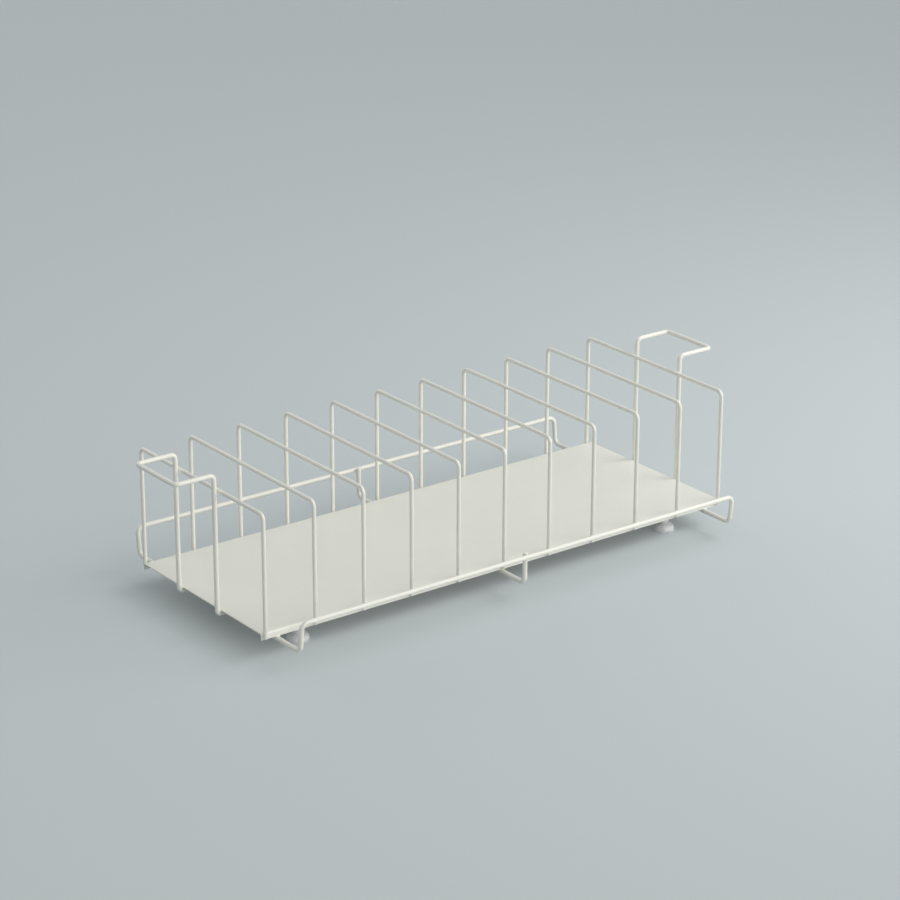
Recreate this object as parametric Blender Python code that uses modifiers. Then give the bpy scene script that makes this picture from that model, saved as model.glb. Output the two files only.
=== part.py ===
"""Countertop wire rack that holds clipboards on edge, in metres with +Z up.

The origin is on the counter under the middle of the tray. +X runs along the row of dividers and the
front of the rack faces -Y. Every wire is given by its corners, and each corner is rounded to a bend.
"""

import math

import bmesh
import bpy
from mathutils import Matrix, Vector

# Row of dividers
SLOT_COUNT = 10
SLOT_PITCH = 0.066
DIVIDER_WIRE = 0.0048
DIVIDER_SPAN = 0.252
DIVIDER_RISE = 0.1405
DIVIDER_BEND = 0.007
LEG_LAP = 0.006

# Tray, one sheet with a flange turned down along its front and back edges
SHEET = 0.0015
SHEET_BEND = 0.0012
FLANGE_DEPTH = 0.008
TRAY_OVERHANG = 0.0038

# Outer frame: two rails that stand off the tray, and the cross wires under it
FRAME_WIRE = 0.0056
FRAME_BEND = 0.008
RAIL_REACH = 0.045
RAIL_LEAN = 0.0035
RAIL_RISE = 0.0235
END_INSET = 0.0178
TIP_RISE = 0.001

# Carrying handles at the two ends
HANDLE_WIRE = 0.0056
HANDLE_WIDTH = 0.080
HANDLE_RISE = 0.161
HANDLE_REACH = 0.0497
HANDLE_BEND = 0.006
HOOK_BEND = 0.0048
HOOK_LENGTH = 0.016

# Cup feet and the studs that they screw on to
STAND = 0.0315
FOOT_FROM_END = 0.065
FOOT_FROM_FLANGE = 0.0258
CUP_DIAMETER = 0.026
CUP_DOME = 0.007
CUP_LIP = 0.0014
CUP_LIP_WIDTH = 0.003
CUP_HOLLOW = 0.0025
NECK_DIAMETER = 0.012
SEAT_DIAMETER = 0.015
SEAT_DEPTH = 0.003
STUD_DIAMETER = 0.005
STUD_LENGTH = 0.013
STUD_FLANGE_DIAMETER = 0.007
STUD_FLANGE_DEPTH = 0.0008

# Clearances: the gap at a weld or a seat, and the room round a stud
GAP = 0.0003
STUD_ROOM = 0.0003

# Facets
BEND_STEPS = 6
WIRE_RESOLUTION = 3
SHEET_STEPS = 4
DOME_STEPS = 6
HOLLOW_STEPS = 3
FOOT_STEPS = 20
STUD_STEPS = 12
MERGE = 0.00001

# Levels above the counter and distances from the middle
TRAY_TOP = STAND + SHEET
ROW_LENGTH = SLOT_COUNT * SLOT_PITCH
TRAY_LENGTH = ROW_LENGTH + 2 * TRAY_OVERHANG
TRAY_DEPTH = DIVIDER_SPAN - DIVIDER_WIRE - 2 * GAP
FLANGE_FOOT = TRAY_TOP - FLANGE_DEPTH
LEG_FOOT = TRAY_TOP - LEG_LAP
CROSS_LEVEL = FLANGE_FOOT - GAP - FRAME_WIRE / 2
RAIL_LEVEL = TRAY_TOP + RAIL_RISE
RAIL_Y = DIVIDER_SPAN / 2 + RAIL_REACH

RACK_NAME = "clipboard_rack"


def clear_scene():
    for old in list(bpy.data.objects):
        bpy.data.objects.remove(old, do_unlink=True)


def finish(name, colour, roughness, metallic, transmission=0.0):
    """A Principled material for one of the rack's three finishes."""
    material = bpy.data.materials.new(name)
    material.use_nodes = True
    shader = material.node_tree.nodes["Principled BSDF"]
    shader.inputs["Base Color"].default_value = (*colour, 1.0)
    shader.inputs["Roughness"].default_value = roughness
    shader.inputs["Metallic"].default_value = metallic
    shader.inputs["Transmission Weight"].default_value = transmission
    return material


def place(name, data, material, location=(0.0, 0.0, 0.0)):
    """A named object of the rack, with its material, in the rack's collection."""
    piece = bpy.data.objects.new(name, data)
    piece.location = location
    data.materials.clear()
    data.materials.append(material)
    bpy.data.collections[RACK_NAME].objects.link(piece)
    return piece


def bent_path(corners):
    """Points of a formed wire: straight runs between (corner, bend radius) pairs, with each bend an arc."""
    points = [corners[0][0]]
    for before, (corner, radius), after in zip(corners, corners[1:], corners[2:]):
        back = (before[0] - corner).normalized()
        ahead = (after[0] - corner).normalized()
        half_angle = back.angle(ahead) / 2
        centre = corner + (back + ahead).normalized() * (radius / math.sin(half_angle))
        arm = corner + back * (radius / math.tan(half_angle)) - centre
        turn = math.pi - 2 * half_angle
        axis = ahead.cross(back)
        for step in range(BEND_STEPS + 1):
            points.append(centre + Matrix.Rotation(turn * step / BEND_STEPS, 3, axis) @ arm)
    points.append(corners[-1][0])
    return points


def wire_curve(name, corners, diameter):
    """A round wire with flat cut ends along a bent path."""
    points = bent_path(corners)
    curve = bpy.data.curves.new(name, "CURVE")
    curve.dimensions = "3D"
    curve.bevel_depth = diameter / 2
    curve.bevel_resolution = WIRE_RESOLUTION
    curve.use_fill_caps = True
    spline = curve.splines.new("POLY")
    spline.points.add(len(points) - 1)
    for spot, point in zip(spline.points, points):
        spot.co = (*point, 1.0)
    return curve


def arc(centre_x, centre_y, radius, start, end, steps):
    """Points of an arc in a plane, both ends included, with angles in degrees."""
    angles = [math.radians(start + (end - start) * step / steps) for step in range(steps + 1)]
    return [(centre_x + radius * math.cos(a), centre_y + radius * math.sin(a)) for a in angles]


def bent_sheet(name, profile, length, thickness, material):
    """A sheet along X whose outer face follows a (y, z) profile, thickened inward."""
    mesh = bpy.data.meshes.new(name)
    sheet = bmesh.new()
    edge_points = [sheet.verts.new((-length / 2, y, z)) for y, z in profile]
    edges = [sheet.edges.new(pair) for pair in zip(edge_points, edge_points[1:])]
    swept = bmesh.ops.extrude_edge_only(sheet, edges=edges)
    far_points = [item for item in swept["geom"] if isinstance(item, bmesh.types.BMVert)]
    bmesh.ops.translate(sheet, verts=far_points, vec=(length, 0.0, 0.0))
    sheet.to_mesh(mesh)
    sheet.free()
    piece = place(name, mesh, material)
    thicken = piece.modifiers.new("Sheet thickness", "SOLIDIFY")
    thicken.thickness = thickness
    thicken.offset = -1.0
    thicken.use_even_offset = True


def turned(name, profile, steps, material, location):
    """A solid of revolution from an (r, z) profile that runs down its outer side."""
    points = [(r, 0.0, z) for r, z in profile]
    edges = [(first, first + 1) for first in range(len(points) - 1)]
    mesh = bpy.data.meshes.new(name)
    mesh.from_pydata(points, edges, [])
    piece = place(name, mesh, material, location)
    screw = piece.modifiers.new("Turn", "SCREW")
    screw.axis = "Z"
    screw.steps = steps
    screw.render_steps = steps
    screw.use_merge_vertices = True
    screw.merge_threshold = MERGE
    screw.use_smooth_shade = True


def make_tray(material):
    """The base: flat on top, both long edges bent down, both short ends left plain."""
    edge = TRAY_DEPTH / 2
    radius = SHEET_BEND + SHEET
    front_bend = arc(-edge + radius, TRAY_TOP - radius, radius, 180, 90, SHEET_STEPS)
    back_bend = arc(edge - radius, TRAY_TOP - radius, radius, 90, 0, SHEET_STEPS)
    profile = [(-edge, FLANGE_FOOT), *front_bend, *back_bend, (edge, FLANGE_FOOT)]
    bent_sheet("base_tray", profile, TRAY_LENGTH, SHEET, material)


def make_dividers(material):
    """Inverted-U wires one slot apart, with their legs lapped over the outside of both flanges."""
    front = -DIVIDER_SPAN / 2
    back = DIVIDER_SPAN / 2
    bar = TRAY_TOP + DIVIDER_RISE
    corners = [
        (Vector((0.0, front, LEG_FOOT)), 0.0),
        (Vector((0.0, front, bar)), DIVIDER_BEND),
        (Vector((0.0, back, bar)), DIVIDER_BEND),
        (Vector((0.0, back, LEG_FOOT)), 0.0),
    ]
    curve = wire_curve("divider", corners, DIVIDER_WIRE)
    for number in range(SLOT_COUNT + 1):
        x = number * SLOT_PITCH - ROW_LENGTH / 2
        place(f"divider_{number + 1:02d}", curve, material, (x, 0.0, 0.0))


def make_rails(material):
    """Front and back rail: each turns down at its ends and runs in under the tray to meet the other."""
    x = ROW_LENGTH / 2 - END_INSET
    for name, side in (("rail_front", -1), ("rail_back", 1)):
        meeting = side * GAP / 2
        heel = side * (RAIL_Y - RAIL_LEAN)
        rail = side * RAIL_Y
        corners = [
            (Vector((-x, meeting, CROSS_LEVEL)), 0.0),
            (Vector((-x, heel, CROSS_LEVEL)), FRAME_BEND),
            (Vector((-x, rail, RAIL_LEVEL)), FRAME_BEND),
            (Vector((x, rail, RAIL_LEVEL)), FRAME_BEND),
            (Vector((x, heel, CROSS_LEVEL)), FRAME_BEND),
            (Vector((x, meeting, CROSS_LEVEL)), 0.0),
        ]
        place(name, wire_curve(name, corners, FRAME_WIRE), material)


def make_middle_wire(material):
    """Cross wire under the middle of the tray, its upturned ends against the inside of both rails."""
    y = RAIL_Y - FRAME_WIRE - GAP
    tip = RAIL_LEVEL + FRAME_WIRE / 2 + TIP_RISE
    corners = [
        (Vector((0.0, -y, tip)), 0.0),
        (Vector((0.0, -y, CROSS_LEVEL)), FRAME_BEND),
        (Vector((0.0, y, CROSS_LEVEL)), FRAME_BEND),
        (Vector((0.0, y, tip)), 0.0),
    ]
    place("middle_cross_wire", wire_curve("middle_cross_wire", corners, FRAME_WIRE), material)


def make_handles(material):
    """Bent-wire handles whose lower ends hook round the bottom corner of the tray's short edge."""
    hook_inside = HOOK_BEND - HANDLE_WIRE / 2
    hook_gap = hook_inside - (hook_inside - GAP) / math.sqrt(2)
    stand_off = hook_gap + HANDLE_WIRE / 2
    half = HANDLE_WIDTH / 2
    tail = STAND - stand_off
    top = TRAY_TOP + HANDLE_RISE
    for name, side in (("handle_left", -1), ("handle_right", 1)):
        leg = side * (TRAY_LENGTH / 2 + stand_off)
        grip = leg + side * HANDLE_REACH
        tail_end = leg - side * HOOK_LENGTH
        corners = [
            (Vector((tail_end, -half, tail)), 0.0),
            (Vector((leg, -half, tail)), HOOK_BEND),
            (Vector((leg, -half, top)), HANDLE_BEND),
            (Vector((grip, -half, top)), HANDLE_BEND),
            (Vector((grip, half, top)), HANDLE_BEND),
            (Vector((leg, half, top)), HANDLE_BEND),
            (Vector((leg, half, tail)), HOOK_BEND),
            (Vector((tail_end, half, tail)), 0.0),
        ]
        place(name, wire_curve(name, corners, HANDLE_WIRE), material)


def foot_profile():
    """Half section of a cup foot: stud hole, seat, neck, dome, lip and hollow underside."""
    top = STAND - GAP
    hole = STUD_DIAMETER / 2 + STUD_ROOM
    hole_floor = top - STUD_LENGTH - STUD_ROOM
    recess = STUD_FLANGE_DIAMETER / 2 + STUD_ROOM
    recess_floor = top - STUD_FLANGE_DEPTH - STUD_ROOM
    seat = SEAT_DIAMETER / 2
    neck = NECK_DIAMETER / 2
    cup = CUP_DIAMETER / 2
    lip_inside = cup - CUP_LIP_WIDTH
    neck_angle = math.acos(neck / cup)
    dome_angles = [neck_angle * (1 - step / DOME_STEPS) for step in range(DOME_STEPS + 1)]
    dome = [(cup * math.cos(a), CUP_LIP + CUP_DOME * math.sin(a)) for a in dome_angles]
    hollow_radii = [lip_inside * (1 - step / HOLLOW_STEPS) for step in range(HOLLOW_STEPS + 1)]
    hollow = [(r, CUP_HOLLOW * (1 - (r / lip_inside) ** 2)) for r in hollow_radii]
    return [
        (0.0, hole_floor),
        (hole, hole_floor),
        (hole, recess_floor),
        (recess, recess_floor),
        (recess, top),
        (seat, top),
        (seat, top - SEAT_DEPTH),
        (neck, top - SEAT_DEPTH - (seat - neck)),
        *dome,
        (cup, 0.0),
        *hollow,
    ]


def stud_profile():
    """Half section of a weld stud: a low flange against the sheet and a plain shank."""
    top = STAND - GAP
    flange = STUD_FLANGE_DIAMETER / 2
    shank = STUD_DIAMETER / 2
    return [
        (0.0, top),
        (flange, top),
        (flange, top - STUD_FLANGE_DEPTH),
        (shank, top - STUD_FLANGE_DEPTH),
        (shank, top - STUD_LENGTH),
        (0.0, top - STUD_LENGTH),
    ]


def make_feet(vinyl, steel):
    """A foot on its stud near each corner of the tray, numbered from front left to back right."""
    x = TRAY_LENGTH / 2 - FOOT_FROM_END
    y = TRAY_DEPTH / 2 - FOOT_FROM_FLANGE
    corners = [(-x, -y), (x, -y), (-x, y), (x, y)]
    for number, (foot_x, foot_y) in enumerate(corners, 1):
        turned(f"foot_{number}", foot_profile(), FOOT_STEPS, vinyl, (foot_x, foot_y, 0.0))
        turned(f"foot_stud_{number}", stud_profile(), STUD_STEPS, steel, (foot_x, foot_y, 0.0))


clear_scene()
bpy.context.scene.collection.children.link(bpy.data.collections.new(RACK_NAME))
white_coat = finish("white_coat", (0.76, 0.75, 0.69), 0.38, 0.0)
clear_vinyl = finish("clear_vinyl", (0.78, 0.82, 0.82), 0.30, 0.0, transmission=0.6)
zinc_steel = finish("zinc_steel", (0.58, 0.58, 0.60), 0.35, 1.0)

make_tray(white_coat)
make_dividers(white_coat)
make_rails(white_coat)
make_middle_wire(white_coat)
make_handles(white_coat)
make_feet(clear_vinyl, zinc_steel)
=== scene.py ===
import math

import bmesh
import bpy
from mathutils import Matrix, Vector


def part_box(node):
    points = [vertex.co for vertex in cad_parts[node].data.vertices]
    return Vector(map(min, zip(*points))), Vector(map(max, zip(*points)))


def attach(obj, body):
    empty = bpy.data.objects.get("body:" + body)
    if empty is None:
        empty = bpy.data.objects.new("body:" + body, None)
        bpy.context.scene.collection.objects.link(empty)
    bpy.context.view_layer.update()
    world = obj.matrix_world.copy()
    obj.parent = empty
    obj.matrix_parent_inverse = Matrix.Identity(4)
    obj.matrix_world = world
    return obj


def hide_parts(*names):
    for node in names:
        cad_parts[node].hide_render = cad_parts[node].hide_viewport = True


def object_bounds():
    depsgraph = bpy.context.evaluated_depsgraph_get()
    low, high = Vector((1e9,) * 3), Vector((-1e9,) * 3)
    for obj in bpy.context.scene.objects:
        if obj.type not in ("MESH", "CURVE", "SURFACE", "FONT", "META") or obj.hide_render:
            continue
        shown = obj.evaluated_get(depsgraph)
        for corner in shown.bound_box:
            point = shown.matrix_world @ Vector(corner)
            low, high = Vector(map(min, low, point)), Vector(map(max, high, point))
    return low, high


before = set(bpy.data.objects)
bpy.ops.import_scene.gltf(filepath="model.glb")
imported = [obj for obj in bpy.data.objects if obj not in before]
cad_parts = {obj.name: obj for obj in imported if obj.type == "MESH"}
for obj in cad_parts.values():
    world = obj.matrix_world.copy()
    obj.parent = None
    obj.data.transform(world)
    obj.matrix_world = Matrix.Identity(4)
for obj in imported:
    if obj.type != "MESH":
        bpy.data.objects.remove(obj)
cad_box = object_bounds()

# Base tray: one sheet of steel with its front and back edges folded down in a press brake.
# The short ends are left as cut. The whole rack is powder coated after it has been welded.
tray_low, tray_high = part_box("base_tray")
sheet_gauge = 0.0015
fold_inside = 0.0012
fold_steps = 6
cut_edge_round = 0.0004
cut_end_edge_round = 0.0003
cut_edge_steps = 4
sheet_crease = math.radians(50)
panel_sag = 0.00025
panel_sags = 3
panel_stations = 48
panel_rows = 18


def rounded(corners, steps, closed=False):
    """Points of a flat outline whose (u, v, radius) corners are rounded to arcs."""
    points = []
    count = len(corners)
    for index, (u, v, radius) in enumerate(corners):
        here = Vector((u, v))
        if radius == 0 or (not closed and index in (0, count - 1)):
            points.append(here)
            continue
        back = (Vector(corners[index - 1][:2]) - here).normalized()
        ahead = (Vector(corners[(index + 1) % count][:2]) - here).normalized()
        half = back.angle(ahead) / 2
        centre = here + (back + ahead).normalized() * (radius / math.sin(half))
        start = here + back * (radius / math.tan(half)) - centre
        turn = math.copysign(math.pi - 2 * half, back.cross(ahead) * -1)
        for step in range(steps + 1):
            angle = turn * step / steps
            points.append(centre + Vector((start.x * math.cos(angle) - start.y * math.sin(angle),
                                           start.x * math.sin(angle) + start.y * math.cos(angle))))
    return points


def filled_in(points, longest):
    """The same closed outline with extra points along its long straight runs."""
    filled = []
    for here, after in zip(points, points[1:] + points[:1]):
        pieces = max(1, math.ceil((after - here).length / longest))
        filled += [here.lerp(after, step / pieces) for step in range(pieces)]
    return filled


def tray_mesh():
    """The folded sheet, with the faint sag that a wide panel keeps between its folds."""
    front, back = tray_low.y, tray_high.y
    top, foot = tray_high.z, tray_low.z
    inner_front, inner_back, inner_top = front + sheet_gauge, back - sheet_gauge, top - sheet_gauge
    outline = rounded([
        (front, foot, cut_edge_round), (front, top, fold_inside + sheet_gauge),
        (back, top, fold_inside + sheet_gauge), (back, foot, cut_edge_round),
        (inner_back, foot, cut_edge_round), (inner_back, inner_top, fold_inside),
        (inner_front, inner_top, fold_inside), (inner_front, foot, cut_edge_round),
    ], fold_steps, closed=True)
    outline = filled_in(outline, (back - front) / panel_rows)
    normals = []
    for before, after in zip(outline[-1:] + outline[:-1], outline[1:] + outline[:1]):
        run = (after - before).normalized()
        normals.append(Vector((-run.y, run.x)))
    half_length = tray_high.x
    turns = [math.pi / 2 * step / cut_edge_steps for step in range(cut_edge_steps)]
    end_stations = [(half_length - cut_end_edge_round * (1 - math.cos(turn)),
                     cut_end_edge_round * (1 - math.sin(turn))) for turn in turns]
    flat_length = half_length - cut_end_edge_round
    stations = [(-x, shrink) for x, shrink in end_stations]
    stations += [(flat_length * (2 * step / panel_stations - 1), 0.0) for step in range(panel_stations + 1)]
    stations += end_stations[::-1]
    shape = bmesh.new()
    rings = []
    for x, shrink in stations:
        along = (x + half_length) / (2 * half_length)
        ring = []
        for point, normal in zip(outline, normals):
            across = (point.x - front) / (back - front)
            sag = panel_sag * (math.sin(math.pi * across) * math.sin(panel_sags * math.pi * along)) ** 2
            in_panel = point.y > (top + foot) / 2
            drawn_in = point - normal * shrink
            ring.append(shape.verts.new((x, drawn_in.x, drawn_in.y - sag * in_panel)))
        rings.append(ring)
    for ring, following in zip(rings, rings[1:]):
        for first in range(len(ring)):
            second = (first + 1) % len(ring)
            shape.faces.new((ring[first], ring[second], following[second], following[first]))
    for ring in (rings[0], rings[-1]):
        for outer in range(len(ring) // 2 - 1):
            inner = len(ring) - 1 - outer
            shape.faces.new((ring[outer], ring[outer + 1], ring[inner - 1], ring[inner]))
    bmesh.ops.recalc_face_normals(shape, faces=shape.faces)
    mesh = bpy.data.meshes.new("base_tray_sheet")
    shape.to_mesh(mesh)
    shape.free()
    mesh.shade_smooth()
    mesh.set_sharp_from_angle(angle=sheet_crease)
    return mesh


def linear(colour):
    """Scene-linear RGBA of an sRGB hex colour."""
    channels = [int(colour[start:start + 2], 16) / 255 for start in (1, 3, 5)]
    return (*[c / 12.92 if c <= 0.04045 else ((c + 0.055) / 1.055) ** 2.4 for c in channels], 1.0)


def add(tree, kind, sockets=None, **settings):
    """A node with its settings, whose named sockets take a value or a link from another node.

    Sockets that share a name go by number: a colour mix has its share at 0 and its colours at 6 and 7.
    """
    node = tree.nodes.new(kind)
    for name, value in settings.items():
        setattr(node, name, value)
    for socket, value in (sockets or {}).items():
        if isinstance(value, bpy.types.NodeSocket):
            tree.links.new(value, node.inputs[socket])
        else:
            node.inputs[socket].default_value = value
    return node


def powder_coat(name, rub_width, rub_length, rub_start, rub_full):
    """Polyester powder coat, sprayed and baked: a thick, warm white satin film with a fine orange peel.

    It drifts a little in tone. Here and there it has rubbed streaks of the given size, which are duller
    and greyer, and which thin out below the height at which they are at their fullest.
    """
    peel_size, peel_depth, peel_strength = 0.0016, 0.00006, 0.35
    drift_size, patch_size, haze_size = 0.070, 0.045, 0.009
    streak_from, streak_full = 0.58, 0.74
    patch_from, patch_full = 0.50, 0.70
    rub_greying, rub_dulling = 0.22, 0.35
    haze_from, haze_full = 0.3, 0.9
    satin, dulled = 0.28, 0.46
    film_ior = 1.5
    material = bpy.data.materials.new(name)
    material.use_nodes = True
    tree = material.node_tree
    shader = tree.nodes["Principled BSDF"]
    place = add(tree, "ShaderNodeTexCoord").outputs["Object"]
    drift = add(tree, "ShaderNodeTexNoise", {"Vector": place, "Scale": 1 / drift_size, "Detail": 2.0})
    film = add(tree, "ShaderNodeMix", {
        0: drift.outputs["Fac"], 6: linear("#EFEEE6"), 7: linear("#E9E8DF")}, data_type="RGBA")
    along = add(tree, "ShaderNodeMapping", {
        "Vector": place, "Scale": (1 / rub_width, 1 / rub_length, 1 / rub_width)})
    streaks = add(tree, "ShaderNodeTexNoise", {
        "Vector": along.outputs["Vector"], "Scale": 1.0, "Detail": 3.0})
    streak = add(tree, "ShaderNodeMapRange", {
        "Value": streaks.outputs["Fac"], "From Min": streak_from, "From Max": streak_full})
    patches = add(tree, "ShaderNodeTexNoise", {"Vector": place, "Scale": 1 / patch_size, "Detail": 1.0})
    patch = add(tree, "ShaderNodeMapRange", {
        "Value": patches.outputs["Fac"], "From Min": patch_from, "From Max": patch_full})
    height = add(tree, "ShaderNodeSeparateXYZ", {"Vector": place}).outputs["Z"]
    reach = add(tree, "ShaderNodeMapRange", {"Value": height, "From Min": rub_start, "From Max": rub_full})
    marked = add(tree, "ShaderNodeMath", {
        0: streak.outputs["Result"], 1: patch.outputs["Result"]}, operation="MULTIPLY")
    rubbed = add(tree, "ShaderNodeMath", {
        0: marked.outputs["Value"], 1: reach.outputs["Result"]}, operation="MULTIPLY").outputs["Value"]
    greyed = add(tree, "ShaderNodeMath", {0: rubbed, 1: rub_greying}, operation="MULTIPLY")
    tone = add(tree, "ShaderNodeMix", {
        0: greyed.outputs["Value"], 6: film.outputs[2], 7: linear("#C4C0B3")}, data_type="RGBA")
    haze = add(tree, "ShaderNodeTexNoise", {
        "Vector": place, "Scale": 1 / haze_size, "Detail": 5.0, "Roughness": 0.6})
    dull = add(tree, "ShaderNodeMath", {
        0: rubbed, 1: rub_dulling, 2: haze.outputs["Fac"]}, operation="MULTIPLY_ADD")
    gloss = add(tree, "ShaderNodeMapRange", {
        "Value": dull.outputs["Value"], "From Min": haze_from, "From Max": haze_full,
        "To Min": satin, "To Max": dulled})
    peel = add(tree, "ShaderNodeTexNoise", {"Vector": place, "Scale": 1 / peel_size, "Detail": 1.0})
    bump = add(tree, "ShaderNodeBump", {
        "Height": peel.outputs["Fac"], "Strength": peel_strength, "Distance": peel_depth})
    tree.links.new(tone.outputs[2], shader.inputs["Base Color"])
    tree.links.new(gloss.outputs["Result"], shader.inputs["Roughness"])
    tree.links.new(bump.outputs["Normal"], shader.inputs["Normal"])
    shader.inputs["IOR"].default_value = film_ior
    return material


sheet_coat = powder_coat(
    "powder_coat_on_sheet", rub_width=0.0011, rub_length=0.080, rub_start=tray_low.z, rub_full=tray_high.z)
tray = bpy.data.objects.new("base_tray_sheet", tray_mesh())
tray.data.materials.append(sheet_coat)
bpy.context.scene.collection.objects.link(tray)
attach(tray, "root")
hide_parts("base_tray")

# Dividers: straight lengths of drawn wire, each bent twice into an inverted U.
# Their legs lap over the outside of the folded edges and are welded there, one slot apart.
divider_nodes = sorted(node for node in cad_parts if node.startswith("divider_"))
divider_wire = 0.0048
divider_bend = 0.007
wire_sides = 28
bend_steps = 14
cut_end_round = 0.0007
cut_end_steps = 4


def wire_tree():
    """Geometry Nodes that bend a polyline at its corners and sweep a round wire along it."""
    tree = bpy.data.node_groups.new("formed_wire", "GeometryNodeTree")
    for name, kind in (("Corners", "Geometry"), ("Wire diameter", "Float"), ("Sides", "Int"),
                       ("Bend steps", "Int"), ("Coat", "Material")):
        tree.interface.new_socket(name, in_out="INPUT", socket_type=f"NodeSocket{kind}")
    tree.interface.new_socket("Wire", in_out="OUTPUT", socket_type="NodeSocketGeometry")
    given = add(tree, "NodeGroupInput").outputs
    route = add(tree, "GeometryNodeMeshToCurve", {"Mesh": given["Corners"]})
    bend = add(tree, "GeometryNodeInputNamedAttribute", {"Name": "bend_radius"}, data_type="FLOAT")
    bent = add(tree, "GeometryNodeFilletCurve", {
        "Curve": route.outputs["Curve"], "Count": given["Bend steps"],
        "Radius": bend.outputs["Attribute"]}, mode="POLY")
    radius = add(tree, "ShaderNodeMath", {0: given["Wire diameter"], 1: 0.5}, operation="MULTIPLY")
    section = add(tree, "GeometryNodeCurvePrimitiveCircle", {
        "Resolution": given["Sides"], "Radius": radius.outputs["Value"]})
    taper = add(tree, "GeometryNodeInputNamedAttribute", {"Name": "end_taper"}, data_type="FLOAT")
    swept = add(tree, "GeometryNodeCurveToMesh", {
        "Curve": bent.outputs["Curve"], "Profile Curve": section.outputs["Curve"],
        "Scale": taper.outputs["Attribute"], "Fill Caps": True})
    smooth = add(tree, "GeometryNodeSetShadeSmooth", {"Geometry": swept.outputs["Mesh"]})
    real = add(tree, "GeometryNodeRealizeInstances", {"Geometry": smooth.outputs["Geometry"]})
    coated = add(tree, "GeometryNodeSetMaterial", {
        "Geometry": real.outputs["Geometry"], "Material": given["Coat"]})
    add(tree, "NodeGroupOutput", {"Wire": coated.outputs["Geometry"]})
    return tree


def grown(name, mesh, tree, inputs):
    """An object whose plain mesh is what a node tree makes of the given mesh."""
    piece = bpy.data.objects.new(name, mesh)
    bpy.context.scene.collection.objects.link(piece)
    modifier = piece.modifiers.new(tree.name, "NODES")
    modifier.node_group = tree
    for label, value in inputs.items():
        modifier[tree.interface.items_tree[label].identifier] = value
    shape = bpy.data.meshes.new_from_object(piece.evaluated_get(bpy.context.evaluated_depsgraph_get()))
    shape.name = name
    piece.modifiers.clear()
    piece.data = shape
    return piece


def rounded_end(tip, inward, diameter):
    """Points and section scales from a wire's cut end to its full section, the cut's edge rounded."""
    points = []
    for step in range(cut_end_steps + 1):
        angle = math.pi / 2 * step / cut_end_steps
        depth = cut_end_round * (1 - math.cos(angle))
        scale = 1 - 2 * cut_end_round * (1 - math.sin(angle)) / diameter
        points.append((tip + inward * depth, scale))
    return points


def wire(name, corners, diameter):
    """A wire piece through (point, bend radius) corners, in the rack's coat, riding on the rack."""
    first, second = Vector(corners[0][0]), Vector(corners[1][0])
    last, before = Vector(corners[-1][0]), Vector(corners[-2][0])
    start = rounded_end(first, (second - first).normalized(), diameter)
    end = rounded_end(last, (before - last).normalized(), diameter)
    route = [(point, 0.0, scale) for point, scale in start]
    route += [(Vector(point), radius, 1.0) for point, radius in corners[1:-1]]
    route += [(point, 0.0, scale) for point, scale in reversed(end)]
    mesh = bpy.data.meshes.new(name)
    mesh.from_pydata([point for point, _, _ in route], [(i, i + 1) for i in range(len(route) - 1)], [])
    mesh.attributes.new("bend_radius", "FLOAT", "POINT").data.foreach_set("value", [r for _, r, _ in route])
    mesh.attributes.new("end_taper", "FLOAT", "POINT").data.foreach_set("value", [s for _, _, s in route])
    piece = grown(name, mesh, formed_wire, {"Wire diameter": diameter, "Sides": wire_sides,
                                            "Bend steps": bend_steps, "Coat": wire_coat})
    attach(piece, "root")
    return piece


rack_top = cad_box[1][2]
wire_coat = powder_coat(
    "powder_coat_on_wire", rub_width=0.0016, rub_length=0.012, rub_start=tray_high.z, rub_full=rack_top)
formed_wire = wire_tree()
for node in divider_nodes:
    low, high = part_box(node)
    x = (low.x + high.x) / 2
    front, back = low.y + divider_wire / 2, high.y - divider_wire / 2
    bar = high.z - divider_wire / 2
    divider = wire(f"{node}_wire", [((x, front, low.z), 0.0), ((x, front, bar), divider_bend),
                                    ((x, back, bar), divider_bend), ((x, back, low.z), 0.0)], divider_wire)
    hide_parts(node)

# Rails: the outer frame is heavier wire. Each rail stands off the tray, leans out a little, turns down
# at both ends and runs in under the folded edges, where the front and back halves are butt welded.
frame_wire = 0.0056
frame_bend = 0.008
rail_lean = 0.0035
for node, side in (("rail_front", -1), ("rail_back", 1)):
    low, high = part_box(node)
    left, right = low.x + frame_wire / 2, high.x - frame_wire / 2
    cross_level, rail_level = low.z + frame_wire / 2, high.z - frame_wire / 2
    rail_y = (high.y if side > 0 else low.y) - side * frame_wire / 2
    meeting = low.y if side > 0 else high.y
    heel = rail_y - side * rail_lean
    rail = wire(f"{node}_wire", [
        ((left, meeting, cross_level), 0.0), ((left, heel, cross_level), frame_bend),
        ((left, rail_y, rail_level), frame_bend), ((right, rail_y, rail_level), frame_bend),
        ((right, heel, cross_level), frame_bend), ((right, meeting, cross_level), 0.0),
    ], frame_wire)
    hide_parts(node)

# Middle cross wire: a shallow U under the tray that keeps the long rails from springing.
# Its upturned ends stand against the inside of both rails and are welded there.
low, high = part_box("middle_cross_wire")
middle_x = (low.x + high.x) / 2
middle_front, middle_back = low.y + frame_wire / 2, high.y - frame_wire / 2
middle_level = low.z + frame_wire / 2
middle = wire("middle_cross_wire_wire", [
    ((middle_x, middle_front, high.z), 0.0), ((middle_x, middle_front, middle_level), frame_bend),
    ((middle_x, middle_back, middle_level), frame_bend), ((middle_x, middle_back, high.z), 0.0),
], frame_wire)
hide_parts("middle_cross_wire")

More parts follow.
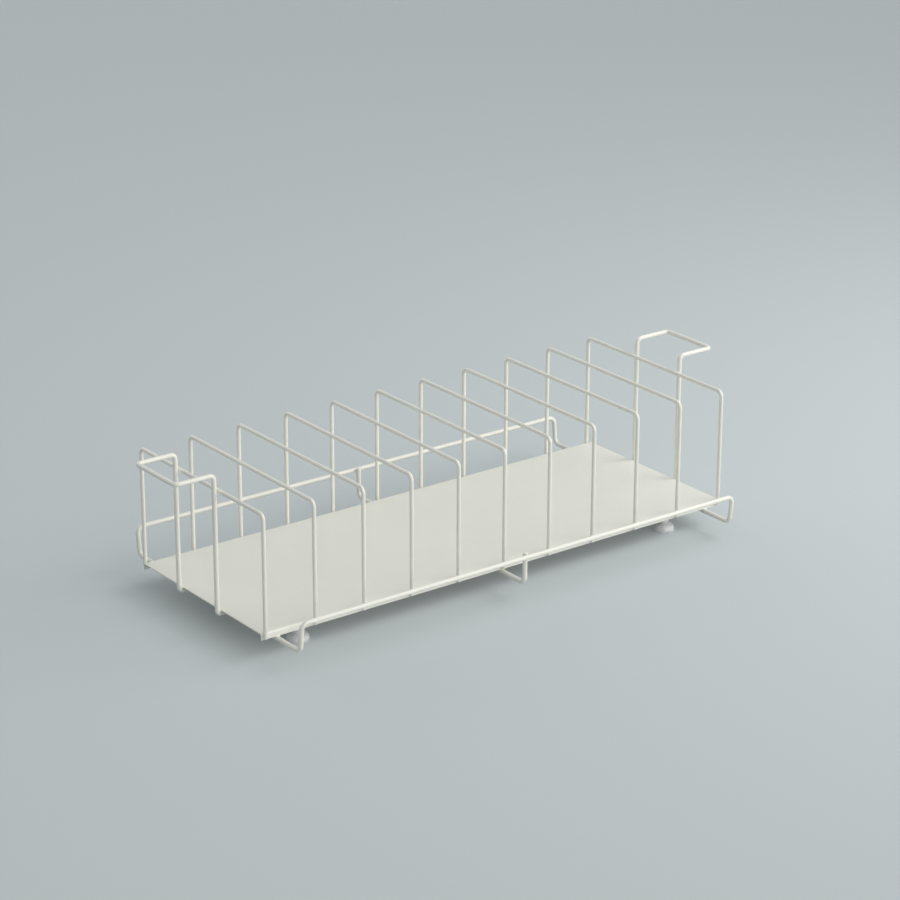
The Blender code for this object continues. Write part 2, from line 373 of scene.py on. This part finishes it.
# Handles: one wire each, bent six times. The legs hook round the bottom corner of the tray's cut end
# and are welded to it, rise past the dividers and turn outward to a crossbar that the fingers go round.
handle_wire = 0.0056
handle_bend = 0.006
hook_bend = 0.0048
hook_inside = hook_bend - handle_wire / 2
hook_clearance = 0.0003
leg_from_end = handle_wire / 2 + hook_inside - (hook_inside - hook_clearance) / math.sqrt(2)
for node, side in (("handle_left", -1), ("handle_right", 1)):
    low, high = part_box(node)
    outer, tail_end = (low.x, high.x) if side < 0 else (high.x, low.x)
    grip_x = outer - side * handle_wire / 2
    leg_x = side * (tray_high.x + leg_from_end)
    near, far = low.y + handle_wire / 2, high.y - handle_wire / 2
    tail_level, top_level = low.z + handle_wire / 2, high.z - handle_wire / 2
    handle = wire(f"{node}_wire", [
        ((tail_end, near, tail_level), 0.0), ((leg_x, near, tail_level), hook_bend),
        ((leg_x, near, top_level), handle_bend), ((grip_x, near, top_level), handle_bend),
        ((grip_x, far, top_level), handle_bend), ((leg_x, far, top_level), handle_bend),
        ((leg_x, far, tail_level), hook_bend), ((tail_end, far, tail_level), 0.0),
    ], handle_wire)
    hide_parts(node)

# Welds: small resistance and fillet welds wherever wire meets sheet or wire.
# Under the coat they show as soft swellings on either side of the contact.
weld_wobble = 0.00012
weld_wobble_size = 0.0025
weld_proud = 0.0004
weld_ball_detail = 4
leg_weld = (0.0033, 0.0011, 0.0024)
cross_weld = (0.0034, 0.0021, 0.0011)
butt_weld = (0.00315, 0.0018, 0.00315)
tip_weld = (0.0024, 0.0013, 0.0024)
hook_weld = (0.0011, 0.0032, 0.0014)


def weld_tree():
    """Geometry Nodes that put an uneven swelling of a given half size on each weld's point."""
    tree = bpy.data.node_groups.new("weld_swellings", "GeometryNodeTree")
    for name, kind in (("Welds", "Geometry"), ("Wobble", "Float"), ("Wobble size", "Float"),
                       ("Coat", "Material")):
        tree.interface.new_socket(name, in_out="INPUT", socket_type=f"NodeSocket{kind}")
    tree.interface.new_socket("Swellings", in_out="OUTPUT", socket_type="NodeSocketGeometry")
    given = add(tree, "NodeGroupInput").outputs
    half_size = add(tree, "GeometryNodeInputNamedAttribute", {"Name": "half_size"}, data_type="FLOAT_VECTOR")
    ball = add(tree, "GeometryNodeMeshIcoSphere", {"Radius": 1.0, "Subdivisions": weld_ball_detail})
    spread = add(tree, "GeometryNodeInstanceOnPoints", {
        "Points": given["Welds"], "Instance": ball.outputs["Mesh"],
        "Scale": half_size.outputs["Attribute"]})
    real = add(tree, "GeometryNodeRealizeInstances", {"Geometry": spread.outputs["Instances"]})
    spot = add(tree, "GeometryNodeInputPosition")
    pitch = add(tree, "ShaderNodeMath", {0: 1.0, 1: given["Wobble size"]}, operation="DIVIDE")
    noise = add(tree, "ShaderNodeTexNoise", {
        "Vector": spot.outputs["Position"], "Scale": pitch.outputs["Value"], "Detail": 1.0})
    centred = add(tree, "ShaderNodeMath", {0: noise.outputs["Fac"], 1: 0.5}, operation="SUBTRACT")
    height = add(tree, "ShaderNodeMath", {
        0: centred.outputs["Value"], 1: given["Wobble"]}, operation="MULTIPLY")
    outward = add(tree, "GeometryNodeInputNormal")
    lift = add(tree, "ShaderNodeVectorMath", {
        0: outward.outputs["Normal"], "Scale": height.outputs["Value"]}, operation="SCALE")
    uneven = add(tree, "GeometryNodeSetPosition", {
        "Geometry": real.outputs["Geometry"], "Offset": lift.outputs["Vector"]})
    smooth = add(tree, "GeometryNodeSetShadeSmooth", {"Geometry": uneven.outputs["Geometry"]})
    coated = add(tree, "GeometryNodeSetMaterial", {
        "Geometry": smooth.outputs["Geometry"], "Material": given["Coat"]})
    add(tree, "NodeGroupOutput", {"Swellings": coated.outputs["Geometry"]})
    return tree


def weld_points():
    """Each weld's place and half size, read from where the pieces meet."""
    fold_line = tray_high.z - fold_inside - sheet_gauge
    welds = []
    for node in divider_nodes:
        low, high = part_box(node)
        x = (low.x + high.x) / 2
        for face in (tray_low.y, tray_high.y):
            welds.append(((x, face + math.copysign(weld_proud, face), (fold_line + low.z) / 2), leg_weld))
    rail_low, rail_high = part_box("rail_front")
    end_wires = [rail_low.x + frame_wire / 2, rail_high.x - frame_wire / 2]
    for x in (*end_wires, middle_x):
        for edge in (tray_low.y, tray_high.y):
            fold_middle = edge - math.copysign(sheet_gauge / 2, edge)
            welds.append(((x, fold_middle, tray_low.z), cross_weld))
    for x in end_wires:
        welds.append(((x, 0.0, rail_low.z + frame_wire / 2), butt_weld))
    for y in (middle_front, middle_back):
        touch = y + math.copysign(frame_wire / 2, y)
        welds.append(((middle_x, touch, rail_high.z - frame_wire / 2), tip_weld))
    handle_low, handle_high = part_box("handle_left")
    for end in (tray_low.x, tray_high.x):
        for y in (handle_low.y + handle_wire / 2, handle_high.y - handle_wire / 2):
            welds.append(((end + math.copysign(weld_proud, end), y, tray_high.z - sheet_gauge), hook_weld))
    return welds


weld_list = weld_points()
weld_mesh = bpy.data.meshes.new("weld_swellings")
weld_mesh.from_pydata([place for place, _ in weld_list], [], [])
half_sizes = [number for _, half in weld_list for number in half]
weld_mesh.attributes.new("half_size", "FLOAT_VECTOR", "POINT").data.foreach_set("vector", half_sizes)
welds = grown("weld_swellings", weld_mesh, weld_tree(), {
    "Wobble": weld_wobble, "Wobble size": weld_wobble_size, "Coat": wire_coat})
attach(welds, "root")

# Foot studs: short zinc-plated steel studs, welded end-on to the tray's underside.
# Each has a low flange at its root and a rolled thread that the foot screws on to.
stud_radius = 0.0025
stud_flange_radius = 0.0035
stud_flange_depth = 0.0008
thread_pitch = 0.0008
thread_depth = 0.00045
thread_sides = 32
rows_per_thread = 6
turned_crease = math.radians(40)
same_point = 1e-6


def zinc_plate():
    """Zinc plate over steel: a thin bluish bright metal film, slightly cloudy from its passivation bath."""
    cloud_size = 0.004
    bright, clouded = 0.22, 0.42
    material = bpy.data.materials.new("zinc_plate")
    material.use_nodes = True
    tree = material.node_tree
    shader = tree.nodes["Principled BSDF"]
    place = add(tree, "ShaderNodeTexCoord").outputs["Object"]
    cloud = add(tree, "ShaderNodeTexNoise", {"Vector": place, "Scale": 1 / cloud_size, "Detail": 4.0})
    tone = add(tree, "ShaderNodeMix", {
        0: cloud.outputs["Fac"], 6: linear("#C3C7CB"), 7: linear("#A9ADB0")}, data_type="RGBA")
    gloss = add(tree, "ShaderNodeMapRange", {
        "Value": cloud.outputs["Fac"], "To Min": bright, "To Max": clouded})
    tree.links.new(tone.outputs[2], shader.inputs["Base Color"])
    tree.links.new(gloss.outputs["Result"], shader.inputs["Roughness"])
    shader.inputs["Metallic"].default_value = 1.0
    return material


def lathe(name, profile, sides, centre, swell=None):
    """A turned mesh about a vertical axis from a profile of (radius, height), its poles closed.

    Where a swell is given, it adds to the radius at each place on the turn.
    """
    shape = bmesh.new()
    rings = []
    for radius, height in profile:
        if radius < same_point:
            rings.append([shape.verts.new((centre.x, centre.y, height))])
            continue
        ring = []
        for side in range(sides):
            turn = side / sides
            reach = radius + (swell(turn, radius, height) if swell else 0.0)
            angle = 2 * math.pi * turn
            ring.append(shape.verts.new((centre.x + reach * math.cos(angle),
                                         centre.y + reach * math.sin(angle), height)))
        rings.append(ring)
    for ring, following in zip(rings, rings[1:]):
        for side in range(sides):
            after = (side + 1) % sides
            corners = [ring[side % len(ring)], ring[after % len(ring)], following[after % len(following)],
                       following[side % len(following)]]
            shape.faces.new(list(dict.fromkeys(corners)))
    bmesh.ops.recalc_face_normals(shape, faces=shape.faces)
    mesh = bpy.data.meshes.new(name)
    shape.to_mesh(mesh)
    shape.free()
    mesh.shade_smooth()
    mesh.set_sharp_from_angle(angle=turned_crease)
    return mesh


def stud_profile(low, high):
    """Half section of a stud, with enough rows along its shank to carry the thread."""
    shank_top = high.z - stud_flange_depth
    rows = math.ceil((shank_top - low.z) / thread_pitch * rows_per_thread)
    shank = [(stud_radius, shank_top + (low.z - shank_top) * row / rows) for row in range(rows + 1)]
    flange = [(0.0, high.z), (stud_flange_radius, high.z), (stud_flange_radius, shank_top)]
    return [*flange, *shank, (0.0, low.z)]


def thread(turn, radius, height):
    """Groove depth of a rolled right-hand thread at a place on the shank."""
    if radius > stud_radius + same_point:
        return 0.0
    phase = (height / thread_pitch - turn) % 1.0
    return -thread_depth * abs(2 * phase - 1)


plated = zinc_plate()
for node in sorted(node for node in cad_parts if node.startswith("foot_stud_")):
    low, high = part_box(node)
    name = f"{node}_thread"
    mesh = lathe(name, stud_profile(low, high), thread_sides, (low + high) / 2, swell=thread)
    mesh.materials.append(plated)
    stud = bpy.data.objects.new(name, mesh)
    bpy.context.scene.collection.objects.link(stud)
    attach(stud, "root")
    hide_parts(node)

# Feet: moulded in one piece from soft milky vinyl, with a broad cup that grips the counter, a thick
# neck and a seat that bears on the tray's underside. A blind hole in the neck takes the stud.
foot_count = 4
cup_radius = 0.013
cup_dome = 0.008
cup_fullness = 2.3
cup_lip = 0.0024
cup_lip_width = 0.003
cup_hollow = 0.0025
neck_radius = 0.006
seat_radius = 0.0075
seat_depth = 0.003
stud_room = 0.0003
mould_round = 0.0004
foot_sides = 72
mould_steps = 5
dome_steps = 16
hollow_steps = 12


def milky_vinyl():
    """Plasticised vinyl, injection moulded: soft, milky and translucent, with a faint moulded haze."""
    haze_size = 0.006
    light_travel = 0.012
    clear_share, milky_share = 0.05, 0.95
    glossy, hazed = 0.16, 0.36
    vinyl_ior = 1.53
    material = bpy.data.materials.new("milky_vinyl")
    material.use_nodes = True
    tree = material.node_tree
    shader = tree.nodes["Principled BSDF"]
    place = add(tree, "ShaderNodeTexCoord").outputs["Object"]
    haze = add(tree, "ShaderNodeTexNoise", {"Vector": place, "Scale": 1 / haze_size, "Detail": 3.0})
    tone = add(tree, "ShaderNodeMix", {
        0: haze.outputs["Fac"], 6: linear("#F6F7FA"), 7: linear("#E9EDF2")}, data_type="RGBA")
    gloss = add(tree, "ShaderNodeMapRange", {
        "Value": haze.outputs["Fac"], "To Min": glossy, "To Max": hazed})
    tree.links.new(tone.outputs[2], shader.inputs["Base Color"])
    tree.links.new(gloss.outputs["Result"], shader.inputs["Roughness"])
    shader.inputs["IOR"].default_value = vinyl_ior
    shader.inputs["Transmission Weight"].default_value = clear_share
    shader.inputs["Subsurface Weight"].default_value = milky_share
    shader.inputs["Subsurface Radius"].default_value = (1.0, 1.0, 1.0)
    shader.inputs["Subsurface Scale"].default_value = light_travel
    return material


def foot_profile(low, high, stud_low):
    """Half section of a foot, from the floor of its stud hole round the outside to the hollow underneath."""
    hole, recess = stud_radius + stud_room, stud_flange_radius + stud_room
    hole_floor = stud_low.z - stud_room
    recess_floor = high.z - stud_flange_depth - stud_room
    seat_foot = high.z - seat_depth
    neck_top = seat_foot - (seat_radius - neck_radius)
    lip_inside = cup_radius - cup_lip_width
    lip_top = low.z + cup_lip
    bulge = 2 / cup_fullness
    neck_angle = math.acos((neck_radius / cup_radius) ** (1 / bulge))
    dome = []
    for step in range(dome_steps + 1):
        angle = neck_angle * (1 - step / dome_steps)
        dome.append((cup_radius * math.cos(angle) ** bulge, lip_top + cup_dome * math.sin(angle) ** bulge))
    hollow = []
    for step in range(hollow_steps + 1):
        radius = lip_inside * (1 - step / hollow_steps)
        hollow.append((radius, low.z + cup_hollow * (1 - (radius / lip_inside) ** 2)))
    upper = rounded([
        (0.0, hole_floor, 0.0), (hole, hole_floor, mould_round),
        (hole, recess_floor, mould_round / 2), (recess, recess_floor, mould_round / 2),
        (recess, high.z, mould_round), (seat_radius, high.z, 2 * mould_round),
        (seat_radius, seat_foot, 2 * mould_round), (neck_radius, neck_top, 2 * mould_round),
        (*dome[0], 0.0),
    ], mould_steps)
    lip = rounded([
        (cup_radius, lip_top, 0.0), (cup_radius, low.z, mould_round), (lip_inside, low.z, 0.0),
    ], mould_steps)
    return [tuple(point) for point in upper] + dome[1:-1] + [tuple(point) for point in lip] + hollow[1:]


vinyl = milky_vinyl()
for number in range(1, foot_count + 1):
    low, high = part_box(f"foot_{number}")
    stud_low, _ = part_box(f"foot_stud_{number}")
    name = f"foot_{number}_moulding"
    mesh = lathe(name, foot_profile(low, high, stud_low), foot_sides, (low + high) / 2)
    mesh.materials.append(vinyl)
    foot = bpy.data.objects.new(name, mesh)
    bpy.context.scene.collection.objects.link(foot)
    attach(foot, "root")
    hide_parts(f"foot_{number}")

# Setting: a plain pale floor under a broad soft light from the front right, a weaker one from behind, a
# small one over the front right corner, and a dim surround. The camera has the photograph's place and lens.
floor_reach = 60.0
floor_lift = 0.09
world_light = 0.30
world_lift = 0.22
rack_middle = Vector((0.0, 0.0, 0.08))


def in_sight(tree):
    """1 for what the camera sees, straight or by way of gloss or glass, and 0 for the light on the rack."""
    ray = add(tree, "ShaderNodeLightPath").outputs
    near = add(tree, "ShaderNodeMath", {
        0: ray["Is Camera Ray"], 1: ray["Is Glossy Ray"]}, operation="MAXIMUM")
    return add(tree, "ShaderNodeMath", {
        0: near.outputs["Value"], 1: ray["Is Transmission Ray"]}, operation="MAXIMUM").outputs["Value"]


def pale_floor():
    """Matt floor paint that looks paler to the eye, and in reflections, than the light that it gives back."""
    material = bpy.data.materials.new("pale_floor_paint")
    material.use_nodes = True
    tree = material.node_tree
    shader = tree.nodes["Principled BSDF"]
    shader.inputs["Base Color"].default_value = linear("#BAC1C4")
    shader.inputs["Roughness"].default_value = 1.0
    shader.inputs["Specular IOR Level"].default_value = 0.0
    lift = add(tree, "ShaderNodeMath", {0: in_sight(tree), 1: floor_lift}, operation="MULTIPLY")
    glow = add(tree, "ShaderNodeEmission", {"Color": linear("#F1F5F6"), "Strength": lift.outputs["Value"]})
    both = add(tree, "ShaderNodeAddShader", {0: shader.outputs["BSDF"], 1: glow.outputs["Emission"]})
    tree.links.new(both.outputs["Shader"], tree.nodes["Material Output"].inputs["Surface"])
    return material


floor_mesh = bpy.data.meshes.new("floor")
floor_mesh.from_pydata([(-floor_reach, -floor_reach, 0), (floor_reach, -floor_reach, 0),
                        (floor_reach, floor_reach, 0), (-floor_reach, floor_reach, 0)], [], [(0, 1, 2, 3)])
floor_mesh.materials.append(pale_floor())
floor = bpy.data.objects.new("floor", floor_mesh)
bpy.context.scene.collection.objects.link(floor)


def lamp(name, kind, place, power, colour, **shape):
    """A soft lamp at a place, turned towards the middle of the rack."""
    light = bpy.data.lights.new(name, kind)
    light.energy = power
    light.color = linear(colour)[:3]
    for setting, value in shape.items():
        setattr(light, setting, value)
    holder = bpy.data.objects.new(name, light)
    holder.location = place
    holder.rotation_euler = (rack_middle - Vector(place)).to_track_quat("-Z", "Y").to_euler()
    bpy.context.scene.collection.objects.link(holder)


lamp("key_light", "SUN", place=(1.2, -3.3, 1.25), power=2.55, colour="#FFFCF6", angle=math.radians(100))
lamp("back_light", "SUN", place=(-0.5, 3.4, 0.8), power=1.35, colour="#FFFFFF", angle=math.radians(60))
lamp("side_lamp", "AREA", place=(1.35, -0.65, 1.35), power=14.0, colour="#FFFFFF", size=1.2)

world = bpy.data.worlds.new("studio")
world.use_nodes = True
surround = world.node_tree.nodes["Background"]
surround.inputs["Color"].default_value = linear("#E2EBEC")
world_tone = add(world.node_tree, "ShaderNodeMath", {
    0: in_sight(world.node_tree), 1: world_lift, 2: world_light}, operation="MULTIPLY_ADD")
world.node_tree.links.new(world_tone.outputs["Value"], surround.inputs["Strength"])
bpy.context.scene.world = world

camera = bpy.data.objects.new("camera", bpy.data.cameras.new("camera"))
camera.data.sensor_width = 36.0
camera.data.lens = 116.4
camera.location = (-1.9117, -2.5625, 1.3569)
camera.rotation_euler = (math.radians(69.08), math.radians(-0.17), math.radians(-36.89))
bpy.context.scene.collection.objects.link(camera)
bpy.context.scene.camera = camera
bpy.context.scene.view_settings.view_transform = "Standard"
